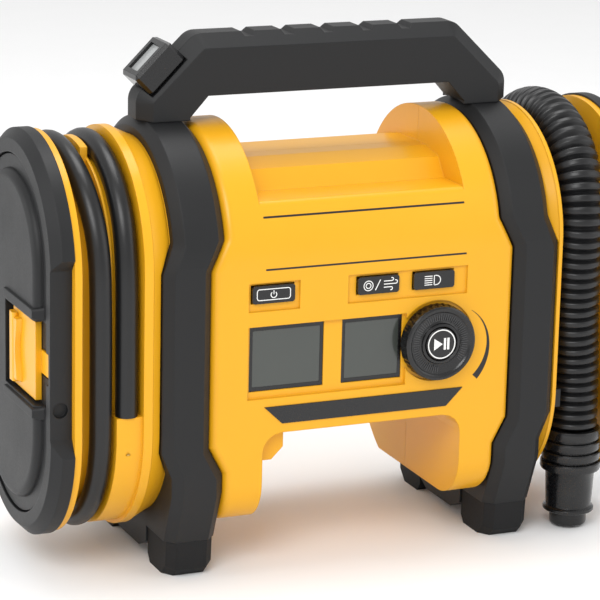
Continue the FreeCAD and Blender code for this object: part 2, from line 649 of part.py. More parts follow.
def make_compressor():
    """Motor, pinion, crank gear, connecting rod, piston, cylinder and head."""
    gear_x0, gear_x1 = "-44", "-38"
    half_tooth = math.pi / 12
    can = rod("x", "17.5", "-24", "26", 0, "motor_z")
    keep("compressor_motor", fuse(can, rod("x", "6", "-27", "30", 0, "motor_z")))
    pinion = gear_teeth(12, 1.0, gear_x0, gear_x1, "0", "motor_z", math.pi / 2 - half_tooth)
    keep("motor_pinion", fuse(pinion, rod("x", "1.8", "-44", "-27.1", 0, "motor_z")))
    wheel = gear_teeth(48, 1.0, gear_x0, gear_x1, "0", "gear_z", -math.pi / 2)
    axle = rod("x", "3", "-40", "-29", 0, "gear_z")
    pin = rod("x", "2", "-53.5", "-43", 0, "gear_z + crank")
    keep("crank_gear", fuse(wheel, axle, pin))
    big_end = rod("x", "4.6", "-52.5", "-47.5", 0, "gear_z + crank")
    small_end = rod("x", "4", "-52.5", "-47.5", 0, "gear_z + crank + 32")
    shank = box("-52", "-48", "-2.4", "2.4", "gear_z + crank", "gear_z + crank + 32")
    pin_bore = rod("x", "2.05", "-60", "-40", 0, "gear_z + crank")
    keep("connecting_rod", cut(fuse(big_end, small_end, shank), pin_bore))
    skirt = cut(rod("z", "11.9", "158.5", "179", "pump_x", 0), rod("z", "10", "158", "176.5", "pump_x", 0))
    keep("piston", skirt)
    liner = cut(rod("z", "15", "149", "181", "pump_x", 0), rod("z", "11.95", "148", "182", "pump_x", 0))
    keep("cylinder", liner)
    fins = [rod("z", "16.5", "%g" % z, "%g" % (z + 1), "pump_x", 0) for z in (182.2, 184.4, 186.6)]
    keep("cylinder_head", fuse(rod("z", "14.8", "181", "187.6", "pump_x", 0), *fins))
    plate = box("-35.5", "-30", "-24", "24", "76", "152")
    shelf = box("-66", "-30", "-17.5", "17.5", "149", "152")
    bearing = rod("x", "3.05", "-40", "-20", 0, "gear_z")
    shaft_hole = rod("x", "4", "-40", "-20", 0, "motor_z")
    seat = rod("z", "15.05", "140", "160", "pump_x", 0)
    keep("compressor_frame", cut(fuse(plate, shelf), bearing, shaft_hole, seat))


def make_blower():
    """Blower motor, impeller and scroll."""
    keep("blower_motor", fuse(rod("x", "18", "34", "64", 0, "fan_z"), rod("x", "6", "32", "66", 0, "fan_z")))
    blades = []
    for step in range(9):
        blade = doc.addObject("Part::Box", "blade")
        bind(blade, Length="13", Width="25", Height="1.6")
        turn = Rotation(Vector(1, 0, 0), 40.0 * step)
        offset = turn.multVec(Vector(0, 14, 3))
        blade.Placement = Placement(Vector(75, offset.y, offset.z), turn)
        blade.setExpression("Placement.Base.z", formula("fan_z + %.5f" % offset.z))
        blades.append(blade)
    plate = rod("x", "40", "73.5", "75.5", 0, "fan_z")
    hub = rod("x", "7", "66.2", "88", 0, "fan_z")
    keep("blower_impeller", fuse(plate, hub, *blades))
    shell = cut(rod("x", "46", "70", "96", 0, "fan_z"), rod("x", "42.5", "72.3", "92", 0, "fan_z"),
                rod("x", "13", "69", "73", 0, "fan_z"), rod("x", "12", "91", "97", 0, "fan_z"))
    keep("blower_scroll", shell)


SCREW_SPOTS = ((-63, 84), (-63, 137), (63, 84), (63, 137), (30, 158), (-14, 158))


def make_screws():
    """The screws that pull the two shells together, and the bosses that take them."""
    shanks = []
    for x, z in SCREW_SPOTS:
        shanks.append(fuse(rod("y", "3.4", "56.6", "58.8", "%g" % x, "%g" % z),
                           rod("y", "1.5", "12", "57", "%g" % x, "%g" % z)))
    keep("housing_screws", group(*shanks))
    bosses = [rod("y", "4.5", "0.05", "57", "%g" % x, "%g" % z) for x, z in SCREW_SPOTS]
    wells = [rod("y", "3.6", "56.5", "75", "%g" % x, "%g" % z) for x, z in SCREW_SPOTS]
    bores = [rod("y", "1.6", "-1", "60", "%g" % x, "%g" % z) for x, z in SCREW_SPOTS]
    keep("rear_housing", cut(fuse(parts["rear_housing"], *bosses), *wells, *bores))


# ---- hoses ---------------------------------------------------------------------------------------------
def wound_points(reach, corners, lanes, rear=1):
    """Corners round half a turn of a spool, over the top (rear = 1) or under it (rear = -1).

    The turn starts at the front over the top, and at the back under it; lanes are the X of each corner.
    """
    outer = reach / math.cos(math.pi / (2 * corners))
    centre = dim("high_axis") if rear > 0 else dim("low_axis")
    points = []
    for index, lane in enumerate(lanes):
        angle = math.pi * (index + 0.5) / corners
        points.append((lane, -rear * outer * math.cos(angle), centre + rear * outer * math.sin(angle)))
    return points


def pressure_hose_route():
    """The pressure hose from its ledge, one and a half turns round the left spool, to its chuck behind."""
    reach = dim("hose_reach")
    lane = -dim("hose_lane")
    route = [(lane, -reach - 0.5, dim("ledge_top")), (lane, -reach - 0.5, 112.0)]
    route += wound_points(reach, 6, [lane] * 6)
    route += [(lane - 0.4, reach + 0.5, 128.0), (lane - 2.0, reach + 0.5, 97.0)]
    under = [lane - d for d in (7.0, 11.0, 12.6, 12.7, 12.6, 12.5)]
    route += wound_points(reach, 6, under, -1)
    route += [(lane - 12.6, -reach - 0.5, 97.0), (lane - 12.6, -reach - 0.5, 128.0)]
    over = [lane - d for d in (13.0, 15.2, 17.2, 17.4, 17.0, 16.4)]
    route += wound_points(reach, 6, over)
    route += [(lane - 16.4, reach + 0.7, 143.0), (lane - 16.4, reach + 0.7, 128.0)]
    return route


DUCT_ROUTE = [("port_x", "port_y", 92.0), ("port_x", "port_y", 119.0), ("122", "port_y + 5.9", 152.0),
              ("121.8", "port_y - 3.6", 182.0), ("121.4", "18", 202.0), ("120.8", "-12", 204.5),
              ("119.6", "-38", 190.5), ("118", "-50.9", 165.0), ("117.6", "nozzle_y - 4.1", 137.0),
              ("119", "nozzle_y - 1.7", 109.0), ("nozzle_x", "nozzle_y", 79.0),
              ("nozzle_x", "nozzle_y", 52.0)]


def tube_wire(route, label):
    """Straight runs joined by tangent arcs, each arc as large as its two runs allow."""
    points = [Vector(*point) for point in route]
    edges = []
    start = points[0]
    radii = []
    for before, corner, after in zip(points, points[1:], points[2:]):
        into = (corner - before).normalize()
        out = (after - corner).normalize()
        shorter = min((corner - before).Length, (after - corner).Length)
        half_turn = into.getAngle(out) / 2
        radius = 0.45 * shorter / math.tan(half_turn)
        radii.append(radius)
        setback = 0.45 * shorter
        first = corner - into * setback
        last = corner + out * setback
        inward = (out - into).normalize()
        centre = corner + inward * (radius / math.cos(half_turn))
        bulge = centre - inward * radius
        edges += [Part.LineSegment(start, first).toShape(), Part.Arc(first, bulge, last).toShape()]
        start = last
    edges.append(Part.LineSegment(start, points[-1]).toShape())
    print("%s radii: %s" % (label, " ".join("%.0f" % radius for radius in radii)))
    return Part.Wire(edges)


def tube(name, route, radius):
    """A hose's solid along its route."""
    wire = tube_wire(route, name)
    start = Vector(*route[0])
    along = (Vector(*route[1]) - start).normalize()
    ring = Part.Wire([Part.makeCircle(radius, start, along)])
    shape = wire.makePipeShell([ring], True, True)
    section = math.pi * radius ** 2
    print("%s length %.1f mm, volume over section times length %.4f" % (name, wire.Length,
                                                                     shape.Volume / section / wire.Length))
    feature = doc.addObject("Part::Feature", name)
    feature.Shape = shape
    return keep(name, feature)


def make_hoses():
    """Both hoses with what they leave and what they end in."""
    lane = "-hose_lane"
    tube("pressure_hose", pressure_hose_route(), dim("hose_round"))
    keep("hose_outlet", cut(rod("z", "3.1", "65.5", "ledge_top", lane, "-hose_reach - 0.5"),
                            rod("z", "1.6", "65", "ledge_top + 1", lane, "-hose_reach - 0.5")))
    end_x = "-hose_lane - 16.4"
    end_y = "hose_reach + 0.7"
    body = fuse(rod("z", "5.9", "98", "128", end_x, end_y), rod("z", "5.4", "92", "98", end_x, end_y))
    clevis = box(end_x + " - 3.6", end_x + " + 3.6", end_y + " + 3", end_y + " + 9.4", "100", "108")
    slot = box(end_x + " - 2.1", end_x + " + 2.1", end_y + " + 5", end_y + " + 12", "97", "112")
    pivot = rod("x", "1.1", end_x + " - 6", end_x + " + 6", end_y + " + 7.4", "104")
    keep("hose_chuck", cut(fuse(body, clevis), slot, rod("z", "3.95", "90", "110", end_x, end_y), pivot))
    arm = box(end_x + " - 1.9", end_x + " + 1.9", end_y + " + 6.4", end_y + " + 9.2", "103", "134")
    eye = rod("x", "2.2", end_x + " - 1.9", end_x + " + 1.9", end_y + " + 7.4", "104")
    tip = box(end_x + " - 3.4", end_x + " + 3.4", end_y + " + 6.6", end_y + " + 9.2", "118", "134")
    hole = rod("x", "1.1", end_x + " - 6", end_x + " + 6", end_y + " + 7.4", "104")
    keep("chuck_lever", cut(fuse(arm, eye, tip), hole))
    keep("chuck_pin", rod("x", "1.05", end_x + " - 3.6", end_x + " + 3.6", end_y + " + 7.4", "104"))
    duct_route = [(sheet_value(x), sheet_value(y), z) for x, y, z in DUCT_ROUTE]
    tube("blower_hose", duct_route, dim("duct_round"))
    upright = rod("z", "12.9", "port_top - 26", "port_top", "port_x", "port_y")
    inlet = rod("y", "7.9", "30", "port_y", "port_x", "port_top - 14")
    duct = fuse(rod("z", "9.5", "port_top - 20", "port_top + 1", "port_x", "port_y"),
                rod("y", "6", "28", "port_y", "port_x", "port_top - 14"))
    keep("duct_elbow", cut(fuse(upright, inlet), duct))
    nozzle = fuse(rod("z", "13.7", "34", "52", "nozzle_x", "nozzle_y"),
                  rod("z", "15.2", "30", "34", "nozzle_x", "nozzle_y"),
                  cone("z", "11.4", "12.3", "10.5", "30", "nozzle_x", "nozzle_y"),
                  rod("z", "12.8", "8.5", "10.5", "nozzle_x", "nozzle_y"),
                  rod("z", "9.3", "1.5", "8.5", "nozzle_x", "nozzle_y"))
    keep("nozzle", cut(nozzle, rod("z", "7.6", "1", "51", "nozzle_x", "nozzle_y")))
    keep("hose_clip", box("right_flange", "right_flange + 3.2", "-58", "-53", "67", "76"))


# ---- build and write -----------------------------------------------------------------------------------
make_housing()
make_screws()
make_hoops()
make_spools()
make_door_end()
make_intake_end()
make_handle()
make_panel()
make_bay_parts()
make_compressor()
make_blower()
make_hoses()
doc.recompute()

failed = [obj.Label for obj in doc.Objects if {"Invalid", "Error"} & set(obj.State)]
for name, obj in parts.items():
    if obj.Shape.isNull() or not obj.Shape.isValid() or not obj.Shape.Solids:
        failed.append(name)
if failed:
    print("failed:", failed)
    sys.exit(1)

os.makedirs("parts", exist_ok=True)
for name, obj in parts.items():
    obj.Shape.exportStep("parts/%s.step" % name)
    print("%-20s solids %d volume %.0f" % (name, len(obj.Shape.Solids), obj.Shape.Volume))
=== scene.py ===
import json
import math

import bmesh
import bpy
from mathutils import Matrix, Vector


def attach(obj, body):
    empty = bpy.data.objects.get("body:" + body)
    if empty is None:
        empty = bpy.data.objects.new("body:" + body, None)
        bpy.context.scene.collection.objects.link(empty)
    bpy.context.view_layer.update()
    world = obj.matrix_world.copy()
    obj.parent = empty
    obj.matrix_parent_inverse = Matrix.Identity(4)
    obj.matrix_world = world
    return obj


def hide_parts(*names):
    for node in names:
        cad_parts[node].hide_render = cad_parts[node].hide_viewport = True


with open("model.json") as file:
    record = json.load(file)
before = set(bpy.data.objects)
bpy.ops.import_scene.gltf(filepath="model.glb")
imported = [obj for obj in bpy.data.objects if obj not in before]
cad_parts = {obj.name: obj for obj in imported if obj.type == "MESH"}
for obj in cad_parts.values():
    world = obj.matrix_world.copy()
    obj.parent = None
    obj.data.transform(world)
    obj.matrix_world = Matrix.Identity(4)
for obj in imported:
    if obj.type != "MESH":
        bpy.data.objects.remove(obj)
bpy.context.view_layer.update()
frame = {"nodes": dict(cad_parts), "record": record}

MM = 0.001
ROOT = "housing"

# Heights, levels and centres in millimetres.
LOW_AXIS = 75.0
HIGH_AXIS = 151.0
PANEL = 60.0
KEY_FACE = -60.62
KNOB = (37.2, 107.9)
NOZZLE = (122.3, -45.6)
PRINT = 0.06


# ---- camera --------------------------------------------------------------------------------------------
def make_camera():
    """The camera, at the photograph's viewing angle."""
    data = bpy.data.cameras.new("camera")
    data.lens = 167.8
    data.sensor_width = 36.0
    camera = bpy.data.objects.new("camera", data)
    bpy.context.scene.collection.objects.link(camera)
    right = Vector((0.9185, -0.3947, 0.0224)).normalized()
    back = Vector((-0.3867, -0.8851, 0.2588)).normalized()
    up = back.cross(right).normalized()
    right = up.cross(back)
    turn = Matrix((right, up, back)).transposed()
    camera.matrix_world = Matrix.Translation((-0.5410, -1.2193, 0.4732)) @ turn.to_4x4()
    bpy.context.scene.camera = camera


make_camera()


# ---- helpers -------------------------------------------------------------------------------------------
def new_piece(name, mesh, material, body=ROOT, replaces=()):
    """A piece from a mesh, riding on a CAD body."""
    piece = bpy.data.objects.new(name, mesh)
    bpy.context.scene.collection.objects.link(piece)
    if material is not None:
        mesh.materials.clear()
        mesh.materials.append(material)
    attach(piece, body)
    if replaces:
        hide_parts(*replaces)
    return piece


def mesh_of(name, corners, faces, smooth=None):
    """A mesh from corners in millimetres; smooth is the angle in degrees under which faces shade as one."""
    mesh = bpy.data.meshes.new(name)
    mesh.from_pydata([Vector(c) * MM for c in corners], [], faces)
    mesh.validate()
    if smooth is not None:
        shade(mesh, smooth)
    return mesh


def shade(mesh, angle):
    """Smooth shading, with edges sharper than the angle kept sharp."""
    bm = bmesh.new()
    bm.from_mesh(mesh)
    for face in bm.faces:
        face.smooth = True
    for edge in bm.edges:
        edge.smooth = len(edge.link_faces) == 2 and edge.calc_face_angle(0.0) < math.radians(angle)
    bm.to_mesh(mesh)
    bm.free()


def lathe(profile, origin, axis, segments=72, wave=None):
    """Corners and faces of a closed profile of (radius, height) turned about an axis, in millimetres."""
    axis = Vector(axis).normalized()
    side = axis.orthogonal().normalized()
    other = axis.cross(side)
    corners = []
    for step in range(segments):
        angle = 2 * math.pi * step / segments
        out = side * math.cos(angle) + other * math.sin(angle)
        for index, (radius, height) in enumerate(profile):
            reach = radius + (wave(index, angle) if wave else 0.0)
            corners.append(Vector(origin) + out * reach + axis * height)
    count = len(profile)
    faces = []
    for step in range(segments):
        after = (step + 1) % segments
        for index in range(count - 1):
            faces.append((step * count + index, after * count + index,
                          after * count + index + 1, step * count + index + 1))
    return corners, faces


def join(*parts):
    """Several (corners, faces) lists as one."""
    corners = []
    faces = []
    for more_corners, more_faces in parts:
        base = len(corners)
        corners += list(more_corners)
        faces += [tuple(base + i for i in face) for face in more_faces]
    return corners, faces


def slab(outline, place, depth):
    """A plate from a flat outline; place turns (u, v, depth) into a point, and depth is its thickness."""
    count = len(outline)
    corners = [place(u, v, 0.0) for u, v in outline] + [place(u, v, depth) for u, v in outline]
    faces = [tuple(range(count)), tuple(reversed(range(count, 2 * count)))]
    faces += [((i + 1) % count, i, count + i, count + (i + 1) % count) for i in range(count)]
    return corners, faces


def band(inner, outer, place, depth, closed=True):
    """A plate between two outlines of equally many points."""
    count = len(inner)
    corners = []
    for level in (0.0, depth):
        corners += [place(u, v, level) for u, v in inner]
        corners += [place(u, v, level) for u, v in outer]
    faces = []
    last = count if closed else count - 1
    for i in range(last):
        j = (i + 1) % count
        faces.append((i, j, count + j, count + i))
        faces.append((2 * count + j, 2 * count + i, 3 * count + i, 3 * count + j))
        faces.append((j, i, 2 * count + i, 2 * count + j))
        faces.append((count + i, count + j, 3 * count + j, 3 * count + i))
    if not closed:
        for i in (0, count - 1):
            faces.append((i, count + i, 3 * count + i, 2 * count + i))
    return corners, faces


def circle(u, v, radius, start=0.0, sweep=360.0, steps=40):
    """Points along an arc, anticlockwise from start, in degrees."""
    whole = abs(sweep) >= 360.0
    count = steps if whole else steps + 1
    return [(u + radius * math.cos(math.radians(start + sweep * i / steps)),
             v + radius * math.sin(math.radians(start + sweep * i / steps))) for i in range(count)]


def round_box(u0, u1, v0, v1, radius, steps=5):
    """A rectangle's outline with round corners."""
    outline = []
    for u, v, start in ((u1 - radius, v1 - radius, 0), (u0 + radius, v1 - radius, 90),
                        (u0 + radius, v0 + radius, 180), (u1 - radius, v0 + radius, 270)):
        outline += circle(u, v, radius, start, 90.0, steps)
    return outline


def stroke(points, width, place, depth):
    """A line of even width through flat points."""
    left = []
    right = []
    for index, (u, v) in enumerate(points):
        before = Vector(points[max(index - 1, 0)])
        after = Vector(points[min(index + 1, len(points) - 1)])
        along = (after - before).normalized()
        across = Vector((-along.y, along.x)) * width / 2
        left.append((u + across.x, v + across.y))
        right.append((u - across.x, v - across.y))
    return band(right, left, place, depth, closed=False)


def on_front(level):
    """Turns (x, z, depth) into a point on the panel; depth counts outwards, to -Y, from the level."""
    return lambda u, v, d: (u, level - d, v)


def on_round(level):
    """The same on the panel's curved top, above the upper arc's centre."""
    def place(u, v, d):
        reach = level + d
        if v <= HIGH_AXIS:
            return (u, -reach, v)
        angle = math.asin(min((v - HIGH_AXIS) / level, 1.0))
        return (u, -reach * math.cos(angle), HIGH_AXIS + reach * math.sin(angle))
    return place


# ---- materials -----------------------------------------------------------------------------------------
def surface(name, colour, rough, grain=1800.0, relief=0.00003, vary=0.06, metallic=0.0, coat=0.0, edge=0.0005,
            streak=None, gleam=0.5):
    """A moulded, rubber or metal surface: fine grain, slow changes of colour and gloss, soft edges."""
    material = bpy.data.materials.new(name)
    material.use_nodes = True
    nodes = material.node_tree.nodes
    links = material.node_tree.links
    shader = nodes["Principled BSDF"]
    shader.inputs["Metallic"].default_value = metallic
    shader.inputs["Coat Weight"].default_value = coat
    shader.inputs["Coat Roughness"].default_value = 0.12
    shader.inputs["Specular IOR Level"].default_value = gleam
    place = nodes.new("ShaderNodeTexCoord")
    spread = nodes.new("ShaderNodeMapping")
    spread.inputs["Scale"].default_value = streak or (1.0, 1.0, 1.0)
    links.new(place.outputs["Object"], spread.inputs["Vector"])
    broad = nodes.new("ShaderNodeTexNoise")
    broad.inputs["Scale"].default_value = 28.0
    broad.inputs["Detail"].default_value = 5.0
    broad.inputs["Roughness"].default_value = 0.6
    links.new(spread.outputs["Vector"], broad.inputs["Vector"])
    fine = nodes.new("ShaderNodeTexNoise")
    fine.inputs["Scale"].default_value = grain
    fine.inputs["Detail"].default_value = 3.0
    links.new(spread.outputs["Vector"], fine.inputs["Vector"])
    tint = nodes.new("ShaderNodeMix")
    tint.data_type = "RGBA"
    low = [max(c * (1.0 - vary), 0.0) for c in colour]
    high = [min(c * (1.0 + vary), 1.0) for c in colour]
    tint.inputs[6].default_value = (*low, 1.0)
    tint.inputs[7].default_value = (*high, 1.0)
    links.new(broad.outputs["Fac"], tint.inputs[0])
    links.new(tint.outputs[2], shader.inputs["Base Color"])
    both = nodes.new("ShaderNodeMath")
    both.operation = "ADD"
    links.new(broad.outputs["Fac"], both.inputs[0])
    links.new(fine.outputs["Fac"], both.inputs[1])
    gloss = nodes.new("ShaderNodeMapRange")
    gloss.inputs["From Min"].default_value = 0.6
    gloss.inputs["From Max"].default_value = 1.4
    gloss.inputs["To Min"].default_value = max(rough - 0.07, 0.02)
    gloss.inputs["To Max"].default_value = min(rough + 0.07, 1.0)
    links.new(both.outputs[0], gloss.inputs["Value"])
    links.new(gloss.outputs["Result"], shader.inputs["Roughness"])
    bump = nodes.new("ShaderNodeBump")
    bump.inputs["Strength"].default_value = 0.6
    bump.inputs["Distance"].default_value = relief
    links.new(fine.outputs["Fac"], bump.inputs["Height"])
    if edge > 0.0:
        soft = nodes.new("ShaderNodeBevel")
        soft.samples = 4
        soft.inputs["Radius"].default_value = edge
        links.new(soft.outputs["Normal"], bump.inputs["Normal"])
    links.new(bump.outputs["Normal"], shader.inputs["Normal"])
    return material


YELLOW = surface("warm_yellow_moulding", (0.755, 0.365, 0.009), 0.34, grain=2600.0, relief=0.00002,
                 vary=0.035, coat=0.06, edge=0.0008, gleam=0.35)
CHARCOAL = surface("charcoal_moulding", (0.0085, 0.0088, 0.0095), 0.50, grain=1700.0, relief=0.00006,
                   vary=0.16, edge=0.0008, gleam=0.35)
RUBBER = surface("foot_rubber", (0.0075, 0.0075, 0.008), 0.70, grain=1200.0, relief=0.00008, vary=0.2,
                 edge=0.0008, gleam=0.3)
HOSE = surface("hose_rubber", (0.0055, 0.0055, 0.006), 0.36, grain=900.0, relief=0.00003, vary=0.2, edge=0.0,
               gleam=0.45)
GLOSS = surface("gloss_black", (0.0055, 0.0055, 0.006), 0.26, grain=1400.0, relief=0.00001, vary=0.15,
                coat=0.1, edge=0.0004, gleam=0.45)
WHITE = surface("white_print", (0.82, 0.82, 0.80), 0.5, grain=3000.0, relief=0.00001, vary=0.03, edge=0.0)
INK = surface("black_print", (0.006, 0.006, 0.006), 0.42, grain=3000.0, relief=0.00001, vary=0.12, edge=0.0)
STEEL = surface("turned_steel", (0.56, 0.56, 0.57), 0.30, grain=500.0, relief=0.00002, vary=0.08,
                metallic=1.0, edge=0.0003, streak=(1.0, 1.0, 6.0))
ALLOY = surface("cast_alloy", (0.62, 0.63, 0.64), 0.45, grain=700.0, relief=0.00005, vary=0.1, metallic=1.0,
                edge=0.0004)
BRASS = surface("brass", (0.70, 0.48, 0.17), 0.32, grain=600.0, relief=0.00002, vary=0.1, metallic=1.0,
                edge=0.0003)
NYLON = surface("natural_nylon", (0.72, 0.70, 0.62), 0.5, grain=1500.0, relief=0.00002, vary=0.05,
                edge=0.0003)
BOARD = surface("circuit_board", (0.015, 0.11, 0.035), 0.4, grain=350.0, relief=0.00004, vary=0.35, edge=0.0)
LCD = surface("display_glass", (0.036, 0.042, 0.036), 0.16, grain=2600.0, relief=0.000004, vary=0.08,
              coat=0.5, edge=0.0)
GREY = surface("grey_marks", (0.045, 0.045, 0.047), 0.4, grain=2000.0, relief=0.00001, vary=0.1, edge=0.0)
LENS = surface("frosted_lens", (0.30, 0.31, 0.31), 0.22, grain=400.0, relief=0.0001, vary=0.1, coat=0.4,
               edge=0.0)

SLOT_LOOKS = {"yellow": YELLOW, "black": CHARCOAL, "rubber": RUBBER, "hose": HOSE, "gloss": GLOSS, "lcd": LCD,
              "lens": LENS, "steel": STEEL, "alloy": ALLOY, "brass": BRASS, "white": NYLON, "board": BOARD}

for entry in frame["record"]["subparts"]:
    node = frame["nodes"][entry["node"]]
    node.data.materials.clear()
    node.data.materials.append(SLOT_LOOKS[entry["material_slot"]])


# ---- hoses ---------------------------------------------------------------------------------------------
REACH = 52.6
LANE = -118.0


def wound_points(reach, corners, lanes, rear=1):
    """Control points round half a turn of the spool, over the top (rear = 1) or under it (rear = -1)."""
    outer = reach / math.cos(math.pi / (2 * corners))
    centre = HIGH_AXIS if rear > 0 else LOW_AXIS
    points = []
    for index, lane in enumerate(lanes):
        angle = math.pi * (index + 0.5) / corners
        points.append((lane, -rear * outer * math.cos(angle), centre + rear * outer * math.sin(angle)))
    return points


def pressure_hose_route():
    """The same route points as the CAD model's tube."""
    route = [(LANE, -REACH - 0.5, 84.0), (LANE, -REACH - 0.5, 112.0)]
    route += wound_points(REACH, 6, [LANE] * 6)
    route += [(LANE - 0.4, REACH + 0.5, 128.0), (LANE - 2.0, REACH + 0.5, 97.0)]
    under = [LANE - d for d in (7.0, 11.0, 12.6, 12.7, 12.6, 12.5)]
    route += wound_points(REACH, 6, under, -1)
    route += [(LANE - 12.6, -REACH - 0.5, 97.0), (LANE - 12.6, -REACH - 0.5, 128.0)]
    over = [LANE - d for d in (13.0, 15.2, 17.2, 17.4, 17.0, 16.4)]
    route += wound_points(REACH, 6, over)
    route += [(LANE - 16.4, REACH + 0.7, 143.0), (LANE - 16.4, REACH + 0.7, 128.0)]
    return route


DUCT_ROUTE = [(122.3, 45.6, 92.0), (122.3, 45.6, 119.0), (122.0, 51.5, 152.0), (121.8, 42.0, 182.0),
              (121.4, 18.0, 202.0), (120.8, -12.0, 204.5), (119.6, -38.0, 190.5), (118.0, -50.9, 165.0),
              (117.6, -49.7, 137.0), (119.0, -47.3, 109.0), (122.3, -45.6, 79.0), (122.3, -45.6, 52.0)]


def route_curve(name, route, radius):
    """One smooth NURBS curve with the route's points as its control points."""
    data = bpy.data.curves.new(name, "CURVE")
    data.dimensions = "3D"
    data.resolution_u = 12
    spline = data.splines.new("NURBS")
    spline.points.add(len(route) - 1)
    for point, place in zip(spline.points, route):
        point.co = (*(Vector(place) * MM), 1.0)
    spline.order_u = 3
    spline.use_endpoint_u = True
    data.bevel_depth = radius * MM
    data.bevel_resolution = 7
    curve = bpy.data.objects.new(name, data)
    bpy.context.scene.collection.objects.link(curve)
    return curve


def centre_line(curve):
    """The points that a bare curve follows, in metres."""
    bpy.context.view_layer.update()
    mesh = bpy.data.meshes.new_from_object(curve)
    points = [vertex.co.copy() for vertex in mesh.vertices]
    bpy.data.meshes.remove(mesh)
    return points


def length_of(points):
    """The length of a line through points."""
    return sum((b - a).length for a, b in zip(points, points[1:]))


def evenly(points, step):
    """Points at an even spacing along a line."""
    total = length_of(points)
    count = max(2, round(total / step))
    wanted = [total * i / count for i in range(count + 1)]
    spaced = []
    run = 0.0
    index = 0
    for target in wanted:
        while index < len(points) - 2 and run + (points[index + 1] - points[index]).length < target:
            run += (points[index + 1] - points[index]).length
            index += 1
        span = (points[index + 1] - points[index]).length
        spaced.append(points[index].lerp(points[index + 1], min((target - run) / span, 1.0)))
    return spaced


def sweep(line, radii, segments):
    """Corners and faces, in millimetres, of a closed round tube along a line in metres."""
    corners = []
    side = None
    for index, point in enumerate(line):
        along = (line[min(index + 1, len(line) - 1)] - line[max(index - 1, 0)]).normalized()
        if side is None:
            side = along.orthogonal()
        side = (side - along * side.dot(along)).normalized()
        other = along.cross(side)
        for step in range(segments):
            angle = 2 * math.pi * step / segments
            corners.append(point / MM + (side * math.cos(angle) + other * math.sin(angle)) * radii[index])
    faces = []
    for index in range(len(line) - 1):
        for step in range(segments):
            after = (step + 1) % segments
            a = index * segments
            b = a + segments
            faces.append((a + step, a + after, b + after, b + step))
    faces.append(tuple(reversed(range(segments))))
    faces.append(tuple(range((len(line) - 1) * segments, len(line) * segments)))
    return corners, faces


def make_pressure_hose():
    """The thin hose, wound on the left spool."""
    hose = route_curve("pressure_hose_rubber", pressure_hose_route(), 5.25)
    hose.data.materials.append(HOSE)
    bare = route_curve("pressure_hose_line", pressure_hose_route(), 0.0)
    length = length_of(centre_line(bare))
    bpy.data.objects.remove(bare)
    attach(hose, ROOT)
    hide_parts("pressure_hose")


def make_blower_hose():
    """The ribbed hose: even ribs along a smooth line, from end to end."""
    bare = route_curve("blower_hose_line", DUCT_ROUTE, 0.0)
    raw = centre_line(bare)
    bpy.data.objects.remove(bare)
    pitch = 5.0
    steps = 10
    line = evenly(raw, pitch / steps * MM)
    radii = []
    for index in range(len(line)):
        phase = (index % steps) / steps
        crest = 0.5 - 0.5 * math.cos(2 * math.pi * phase)
        radii.append(10.3 + 2.2 * min(1.0, 1.5 * crest ** 0.8))
    corners, faces = sweep(line, radii, 48)
    mesh = mesh_of("blower_hose_ribbed", corners, faces, smooth=60)
    hose = new_piece("blower_hose_ribbed", mesh, HOSE, replaces=("blower_hose",))
    length_of(raw)
    make_nozzle()


def make_nozzle():
    """The nozzle on the ribbed hose: a cuff of four rings, a smooth taper, a ring and the tip."""
    profile = [(7.6, 51.0), (13.0, 52.0), (14.0, 51.7), (14.3, 50.8), (14.3, 47.6), (13.9, 46.8),
               (12.7, 46.6), (12.7, 45.8), (14.0, 45.6), (14.5, 45.0), (14.5, 42.0), (14.1, 41.2),
               (12.8, 41.0), (12.8, 40.2), (14.3, 40.0), (14.8, 39.4), (14.8, 36.7), (14.4, 35.9),
               (13.0, 35.7), (13.0, 34.9), (14.7, 34.7), (15.2, 34.1), (15.2, 31.2), (14.8, 30.4),
               (12.8, 30.1), (12.3, 29.4), (11.9, 20.0), (11.4, 11.2), (12.3, 10.6), (12.8, 10.1),
               (12.8, 8.9), (12.4, 8.5), (9.8, 8.3), (9.3, 7.7), (9.3, 2.4), (9.1, 1.8), (8.6, 1.5),
               (7.9, 1.5), (7.6, 1.9), (7.6, 51.0)]
    corners, faces = lathe([(r, -z) for r, z in profile], (*NOZZLE, 0.0), (0, 0, -1), 96)
    mesh = mesh_of("nozzle_stepped", corners, faces, smooth=35)
    return new_piece("nozzle_stepped", mesh, GLOSS, replaces=("nozzle",))


make_pressure_hose()
make_blower_hose()


# ---- pieces refined from the CAD solids ----------------------------------------------------------------
def moulded(node, picker, width, material):
    """A copy of a black CAD solid with the edges that picker accepts chamfered."""
    mesh = frame["nodes"][node].data.copy()
    bm = bmesh.new()
    bm.from_mesh(mesh)
    bmesh.ops.remove_doubles(bm, verts=bm.verts, dist=2e-6)
    bmesh.ops.dissolve_limit(bm, angle_limit=math.radians(0.6), verts=bm.verts, edges=bm.edges)
    chosen = [e for e in bm.edges if len(e.link_faces) == 2
              and picker(e, (e.verts[0].co + e.verts[1].co) / 2 / MM)]
    bmesh.ops.bevel(bm, geom=chosen, offset=width * MM, offset_type="OFFSET", segments=1, profile=0.5,
                    affect="EDGES", clamp_overlap=True)
    bm.to_mesh(mesh)
    bm.free()
    mesh.name = node + "_moulded"
    shade(mesh, 30)
    return new_piece(node + "_moulded", mesh, material, replaces=(node,))


def sharp(edge, least):
    """Whether an edge's two faces meet at more than some degrees."""
    return math.degrees(edge.calc_face_angle(0.0)) > least


def along_x(edge):
    """Whether an edge runs along X."""
    run = edge.verts[1].co - edge.verts[0].co
    return abs(run.x) > 0.999 * run.length


